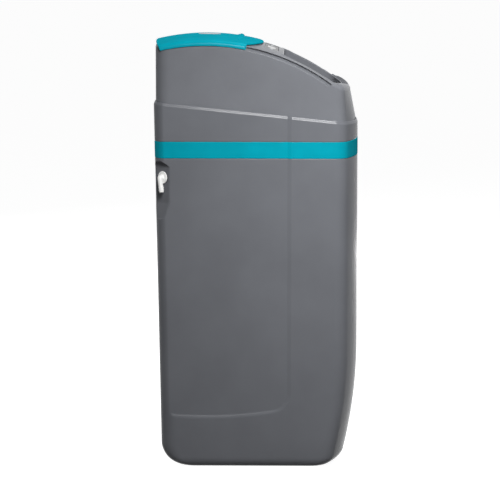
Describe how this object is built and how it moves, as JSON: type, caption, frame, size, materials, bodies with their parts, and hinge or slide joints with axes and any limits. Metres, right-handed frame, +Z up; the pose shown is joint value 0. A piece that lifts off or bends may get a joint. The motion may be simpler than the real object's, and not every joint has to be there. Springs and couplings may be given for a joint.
{
  "type": "water softener",
  "caption": "Tall cabinet water softener with a bowed front, a curved lid that slides back from its salt opening, a resin vessel with a rotary valve, and a brine well.",
  "frame": {"origin": "middle of the base, on the floor", "axes": "+Z up, -Y to the bowed front, +X to the right of someone who stands in front and looks at it"},
  "size_m": [0.3308, 0.5253, 1.114],
  "materials": {
    "tank_grey": "fine-grained dark grey moulding",
    "cover_grey": "fine-grained grey moulding",
    "turquoise": "satin turquoise moulding",
    "badge_grey": "blank light grey plate",
    "panel_black": "dark panel plate",
    "window": "clear window",
    "display": "blank display",
    "board_green": "circuit board",
    "switch_black": "small black parts",
    "key_grey": "keys",
    "screw_steel": "bright screws",
    "white_plastic": "white moulding",
    "light_plastic": "light grey moulding",
    "black_plastic": "black moulding",
    "seal_rubber": "seal",
    "vessel_shell": "wound pressure shell",
    "resin": "amber beads",
    "gravel": "washed gravel",
    "valve_black": "glass-filled valve moulding",
    "ceramic_disc": "lapped disc",
    "motor_steel": "motor can"
  },
  "bodies": {
    "cabinet": {"cabinet_tank": "tank_grey", "trim_band": "turquoise", "top_cover": "cover_grey", "control_panel": "panel_black", "display_window": "window", "display_module": "display", "control_board": "board_green", "key_switches": "switch_black", "board_screws": "screw_steel", "overflow_elbow": "white_plastic", "overflow_gasket": "seal_rubber", "overflow_nut": "white_plastic", "cover_screws": "screw_steel", "power_inlet": "black_plastic", "resin_vessel": "vessel_shell", "vessel_base": "black_plastic", "resin_bed": "resin", "gravel_bed": "gravel", "riser_tube": "white_plastic", "bottom_distributor": "black_plastic", "top_distributor": "black_plastic", "valve_body": "valve_black", "neck_ring": "seal_rubber", "seal_disc": "ceramic_disc", "thrust_washer": "screw_steel", "valve_cover": "valve_black", "valve_cover_screws": "screw_steel", "drive_motor": "motor_steel", "motor_plate": "valve_black", "motor_plate_screws": "screw_steel", "position_sensor": "switch_black", "injector_nozzle": "light_plastic", "injector_cap": "valve_black", "drain_elbow": "light_plastic", "brine_elbow": "light_plastic", "turbine_support": "light_plastic", "brine_well": "light_plastic", "well_cap": "light_plastic", "safety_valve": "white_plastic", "pickup_tube": "white_plastic", "air_check": "black_plastic", "well_elbow": "light_plastic", "brine_line": "white_plastic", "salt_grid": "light_plastic", "grid_legs": "light_plastic"},
    "lid": {"slide_lid": "turquoise", "lid_badge": "badge_grey"},
    "menu_key": {"key_menu": "key_grey"},
    "down_key": {"key_down": "key_grey"},
    "up_key": {"key_up": "key_grey"},
    "regen_key": {"key_regen": "key_grey"},
    "float": {"float_rod": "white_plastic", "brine_float": "turquoise"},
    "valve_rotor": {"rotor": "light_plastic", "drive_gear": "white_plastic"},
    "pinion": {"motor_pinion": "white_plastic"},
    "turbine": {"meter_turbine": "white_plastic"}
  },
  "joints": [
    {"name": "lid_slide", "type": "hinge", "parent": "cabinet", "child": "lid", "pos_m": [0, 0.13, 0.551], "axis": [1, 0, 0], "range_deg": [0, 24.8]},
    {"name": "menu_press", "type": "slide", "parent": "cabinet", "child": "menu_key", "axis": [0, 0.3057, -0.9521], "range_m": [0, 0.0012], "stiffness_N_per_m": 800},
    {"name": "down_press", "type": "slide", "parent": "cabinet", "child": "down_key", "axis": [0, 0.3057, -0.9521], "range_m": [0, 0.0012], "stiffness_N_per_m": 800},
    {"name": "up_press", "type": "slide", "parent": "cabinet", "child": "up_key", "axis": [0, 0.3057, -0.9521], "range_m": [0, 0.0012], "stiffness_N_per_m": 800},
    {"name": "regen_press", "type": "slide", "parent": "cabinet", "child": "regen_key", "axis": [0, 0.3057, -0.9521], "range_m": [0, 0.0012], "stiffness_N_per_m": 800},
    {"name": "float_rise", "type": "slide", "parent": "cabinet", "child": "float", "axis": [0, 0, 1], "range_m": [0, 0.025]},
    {"name": "rotor_turn", "type": "hinge", "parent": "cabinet", "child": "valve_rotor", "pos_m": [0, 0.104, 1.034], "axis": [0, 0, 1], "continuous": true},
    {"name": "pinion_turn", "type": "hinge", "parent": "cabinet", "child": "pinion", "pos_m": [0.0561, 0.104, 1.034], "axis": [0, 0, 1], "continuous": true},
    {"name": "turbine_turn", "type": "hinge", "parent": "cabinet", "child": "turbine", "pos_m": [0.038, 0.2139, 0.978], "axis": [0, 1, 0], "continuous": true}
  ],
  "couplings": [
    {"joint": "pinion_turn", "follows": "rotor_turn", "ratio": -3.5714}
  ]
}
